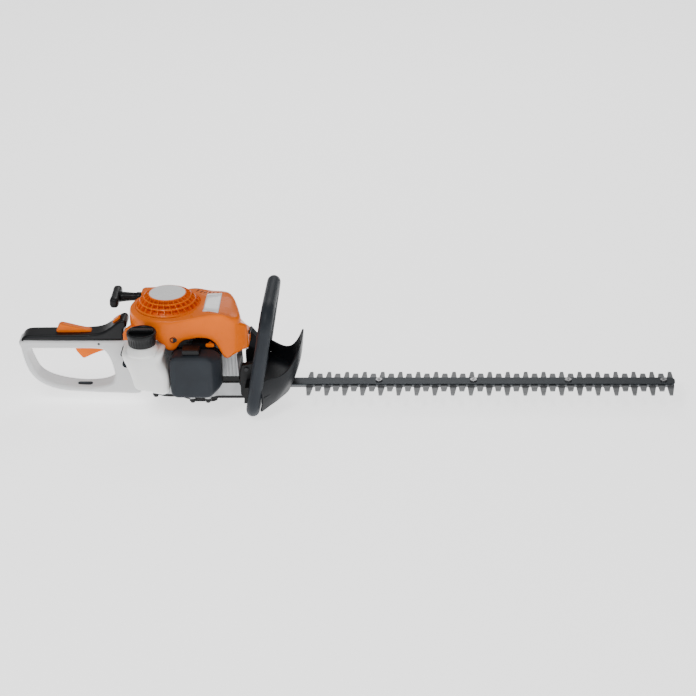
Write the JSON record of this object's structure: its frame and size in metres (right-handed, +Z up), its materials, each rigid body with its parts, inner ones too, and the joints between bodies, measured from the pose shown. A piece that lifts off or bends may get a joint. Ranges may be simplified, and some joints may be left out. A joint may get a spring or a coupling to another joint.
{
  "type": "hedge trimmer",
  "caption": "Petrol hedge trimmer with a long double-sided blade, rear loop handle, front hoop handle, guard and recoil starter.",
  "frame": {"origin": "centre of the skid's flat sole, on the reduction gear's axis", "axes": "+X along the blade to its tip, +Z up from the sole, -Y the carburettor side"},
  "size_m": [1.088, 0.2013, 0.2032],
  "materials": {
    "orange_plastic": "satin moulded nylon",
    "white_plastic": "satin moulded nylon",
    "tank_plastic": "translucent polyethylene",
    "black_plastic": "fine moulded grain",
    "slate_plastic": "fine moulded grain",
    "rubber": "moulded rubber",
    "cast_metal": "die cast",
    "blade_steel": "ground",
    "bar_steel": "blackened",
    "steel": "machined",
    "dark_steel": "black oxide",
    "filter_felt": "felt",
    "rope": "braided",
    "badge": "gloss"
  },
  "bodies": {
    "chassis": {"av_buffers": "rubber", "badge_disc": "badge", "bar_bolts": "steel", "bearings": "steel", "blade_nuts": "steel", "blade_screws": "steel", "bottom_cover": "black_plastic", "bulb_seat": "black_plastic", "carburettor": "cast_metal", "casing_screws": "dark_steel", "cover_screws": "dark_steel", "crankcase_lower": "cast_metal", "crankcase_upper": "cast_metal", "cylinder": "cast_metal", "deck_label": "badge", "engine_frame": "cast_metal", "engine_shroud": "orange_plastic", "filter_element": "filter_felt", "filter_housing": "black_plastic", "front_handle": "slate_plastic", "fuel_tank": "tank_plastic", "gear_housing": "cast_metal", "guide_bar": "bar_steel", "hand_guard": "black_plastic", "handle_brackets": "black_plastic", "handle_cover": "black_plastic", "handle_frame": "white_plastic", "handle_pins": "steel", "ignition_module": "black_plastic", "intake_manifold": "black_plastic", "muffler": "dark_steel", "muffler_guard": "black_plastic", "recoil_spring": "steel", "spacer_band": "black_plastic", "spark_plug": "steel", "spark_plug_boot": "rubber"},
    "throttle": {"throttle_trigger": "orange_plastic"},
    "lockout": {"trigger_lockout": "orange_plastic"},
    "switch": {"stop_switch": "orange_plastic"},
    "starter_pull": {"starter_grip": "black_plastic", "rope_end": "rope"},
    "pulley": {"rope_pulley": "black_plastic", "wound_rope": "rope"},
    "crank": {"crankshaft": "steel", "flywheel": "cast_metal", "clutch_shoes": "steel"},
    "drum": {"clutch_drum": "steel"},
    "gear": {"gear_wheel": "steel", "gear_shaft": "steel"},
    "upper_cutter": {"upper_blade": "blade_steel"},
    "lower_cutter": {"lower_blade": "blade_steel"},
    "piston": {"piston": "cast_metal", "piston_pin": "steel"},
    "rod": {"connecting_rod": "steel"},
    "cap_lifter": {"cap_gasket": "rubber"},
    "cap": {"fuel_cap": "black_plastic"},
    "air_cover": {"filter_cover": "slate_plastic"},
    "latch": {"filter_latch": "black_plastic"},
    "choke": {"choke_knob": "orange_plastic"},
    "primer": {"primer_bulb": "rubber"}
  },
  "joints": [
    {"name": "throttle_squeeze", "type": "hinge", "parent": "chassis", "child": "throttle", "pos_m": [-0.17, 0, 0.111], "axis": [0, 1, 0], "range_deg": [0, 12], "stiffness_Nm_per_rad": 0.6, "springref_deg": -8.59},
    {"name": "lockout_press", "type": "hinge", "parent": "chassis", "child": "lockout", "pos_m": [-0.186, 0, 0.125], "axis": [0, -1, 0], "range_deg": [0, 8], "stiffness_Nm_per_rad": 0.5, "springref_deg": -8.59},
    {"name": "stop_switch_slide", "type": "slide", "parent": "chassis", "child": "switch", "axis": [0.8189, 0, 0.5739], "range_m": [-0.002, 0.002]},
    {"name": "starter_pull_out", "type": "slide", "parent": "chassis", "child": "starter_pull", "axis": [-1, 0, 0], "range_m": [0, 0.7], "stiffness_N_per_m": 12, "springref_m": -0.4},
    {"name": "pulley_spin", "type": "hinge", "parent": "chassis", "child": "pulley", "pos_m": [-0.052, 0, 0.175], "axis": [0, 0, 1], "range_deg": [0, 1338]},
    {"name": "crankshaft_spin", "type": "hinge", "parent": "chassis", "child": "crank", "pos_m": [-0.052, 0, 0.115], "axis": [0, 0, 1], "continuous": true},
    {"name": "gear_spin", "type": "hinge", "parent": "chassis", "child": "gear", "pos_m": [0, 0, 0.042], "axis": [0, 0, 1], "continuous": true},
    {"name": "drum_spin", "type": "hinge", "parent": "chassis", "child": "drum", "pos_m": [-0.052, 0, 0.042], "axis": [0, 0, 1], "continuous": true},
    {"name": "upper_blade_stroke", "type": "slide", "parent": "chassis", "child": "upper_cutter", "axis": [1, 0, 0], "range_m": [-0.0075, 0.0075]},
    {"name": "lower_blade_stroke", "type": "slide", "parent": "chassis", "child": "lower_cutter", "axis": [1, 0, 0], "range_m": [-0.0075, 0.0075]},
    {"name": "piston_stroke", "type": "slide", "parent": "chassis", "child": "piston", "axis": [-1, 0, 0], "range_m": [0, 0.03]},
    {"name": "rod_swing", "type": "hinge", "parent": "piston", "child": "rod", "pos_m": [0.018, 0, 0.115], "axis": [0, 0, 1], "range_deg": [-15, 15]},
    {"name": "cap_lift", "type": "slide", "parent": "chassis", "child": "cap_lifter", "axis": [0, 0, 1], "range_m": [0, 0.04]},
    {"name": "cap_turn", "type": "hinge", "parent": "cap_lifter", "child": "cap", "pos_m": [-0.087, -0.082, 0.143], "axis": [0, 0, 1], "range_deg": [0, 360]},
    {"name": "air_cover_off", "type": "slide", "parent": "chassis", "child": "air_cover", "axis": [0, -1, 0], "range_m": [0, 0.06]},
    {"name": "latch_lift", "type": "hinge", "parent": "air_cover", "child": "latch", "pos_m": [-0.007, -0.0665, 0.1322], "axis": [-1, 0, 0], "range_deg": [0, 60]},
    {"name": "choke_turn", "type": "hinge", "parent": "chassis", "child": "choke", "pos_m": [0.022, -0.06, 0.1305], "axis": [0, -1, 0], "range_deg": [0, 60]},
    {"name": "primer_press", "type": "slide", "parent": "chassis", "child": "primer", "axis": [0, 1, 0], "range_m": [0, 0.003], "stiffness_N_per_m": 400, "springref_m": -0.001}
  ],
  "couplings": [
    {"joint": "pulley_spin", "follows": "starter_pull_out", "rad_per_m": 33.333},
    {"joint": "drum_spin", "follows": "gear_spin", "ratio": -4.7143},
    {"joint": "lower_blade_stroke", "follows": "upper_blade_stroke", "ratio": -1}
  ]
}
